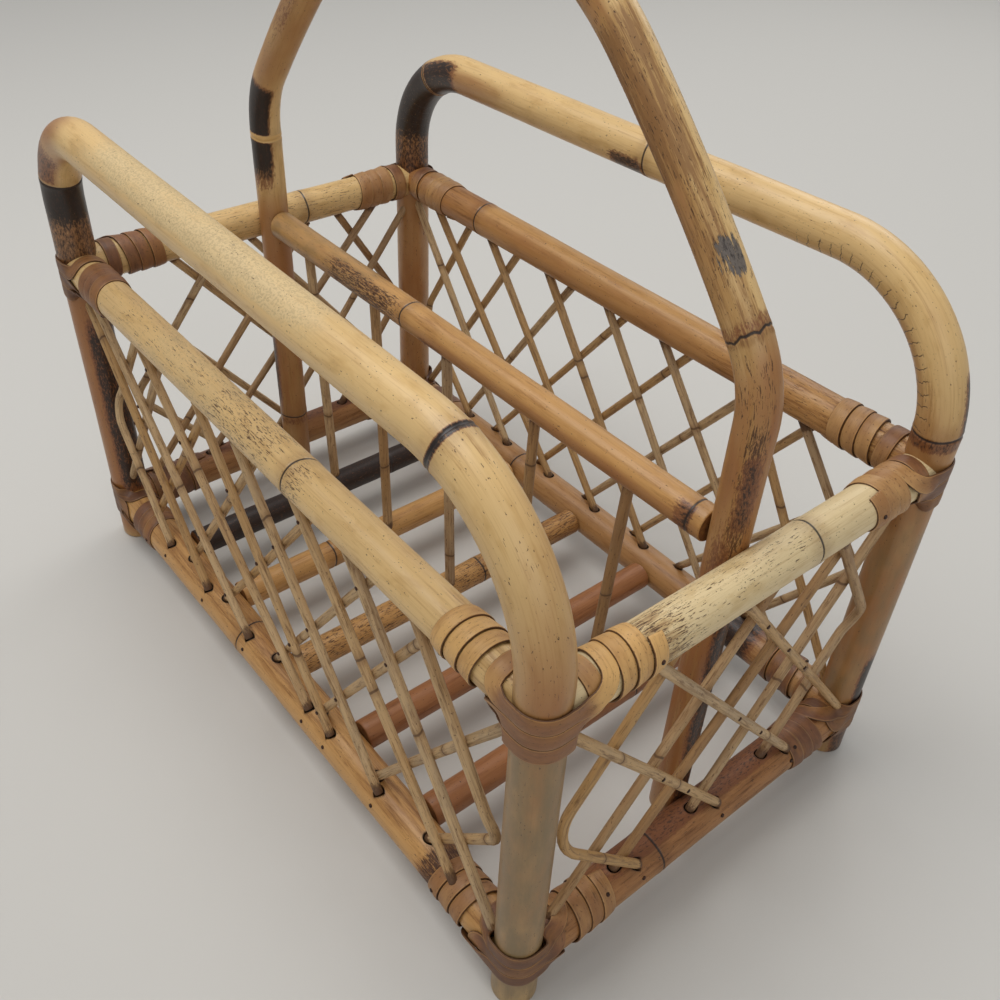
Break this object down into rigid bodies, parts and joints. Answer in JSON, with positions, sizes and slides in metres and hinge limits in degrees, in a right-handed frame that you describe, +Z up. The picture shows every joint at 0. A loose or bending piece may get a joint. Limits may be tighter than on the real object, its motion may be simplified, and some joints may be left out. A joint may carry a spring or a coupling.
{
  "type": "magazine basket",
  "caption": "Open pole-frame magazine basket with side hoops, a bent carrying handle over a dividing rail, crossed reed sides and cane-bound corners.",
  "frame": {"origin": "on the ground under the middle of the basket", "axes": "+X along the long sides towards the near end, +Y towards the right long side, +Z up"},
  "size_m": [0.4838, 0.2944, 0.4701],
  "materials": {
    "pale_pole": "satin",
    "honey_pole": "satin",
    "brown_pole": "satin",
    "red_pole": "satin",
    "charred_pole": "satin",
    "bleached_pole": "matte",
    "reed": "matte",
    "cane_strip": "satin"
  },
  "bodies": {
    "root": {"divider_rail": "honey_pole", "divider_stick_1": "reed", "divider_stick_2": "reed", "divider_stick_3": "reed", "divider_stick_4": "reed", "divider_stick_5": "reed", "far_lower_rail": "brown_pole", "far_reed_1": "reed", "far_reed_2": "reed", "far_reed_3": "reed", "far_reed_4": "reed", "far_reed_5": "reed", "far_reed_6": "reed", "far_reed_7": "reed", "far_reed_8": "reed", "far_rim_rail": "pale_pole", "floor_pole_1": "charred_pole", "floor_pole_2": "honey_pole", "floor_pole_3": "pale_pole", "floor_pole_4": "red_pole", "floor_pole_5": "red_pole", "handle_arch": "pale_pole", "left_far_lower_lashing": "cane_strip", "left_far_rim_lashing": "cane_strip", "left_hoop": "pale_pole", "left_lattice": "reed", "left_lower_rail": "brown_pole", "left_near_lower_lashing": "cane_strip", "left_near_rim_lashing": "cane_strip", "left_rim_rail": "honey_pole", "near_lower_rail": "brown_pole", "near_reed_1": "reed", "near_reed_2": "reed", "near_reed_3": "reed", "near_reed_4": "reed", "near_reed_5": "reed", "near_reed_6": "reed", "near_reed_7": "reed", "near_reed_8": "reed", "near_rim_rail": "bleached_pole", "right_far_lower_lashing": "cane_strip", "right_far_rim_lashing": "cane_strip", "right_hoop": "pale_pole", "right_lattice": "reed", "right_lower_rail": "brown_pole", "right_near_lower_lashing": "cane_strip", "right_near_rim_lashing": "cane_strip", "right_rim_rail": "honey_pole"}
  },
  "joints": []
}
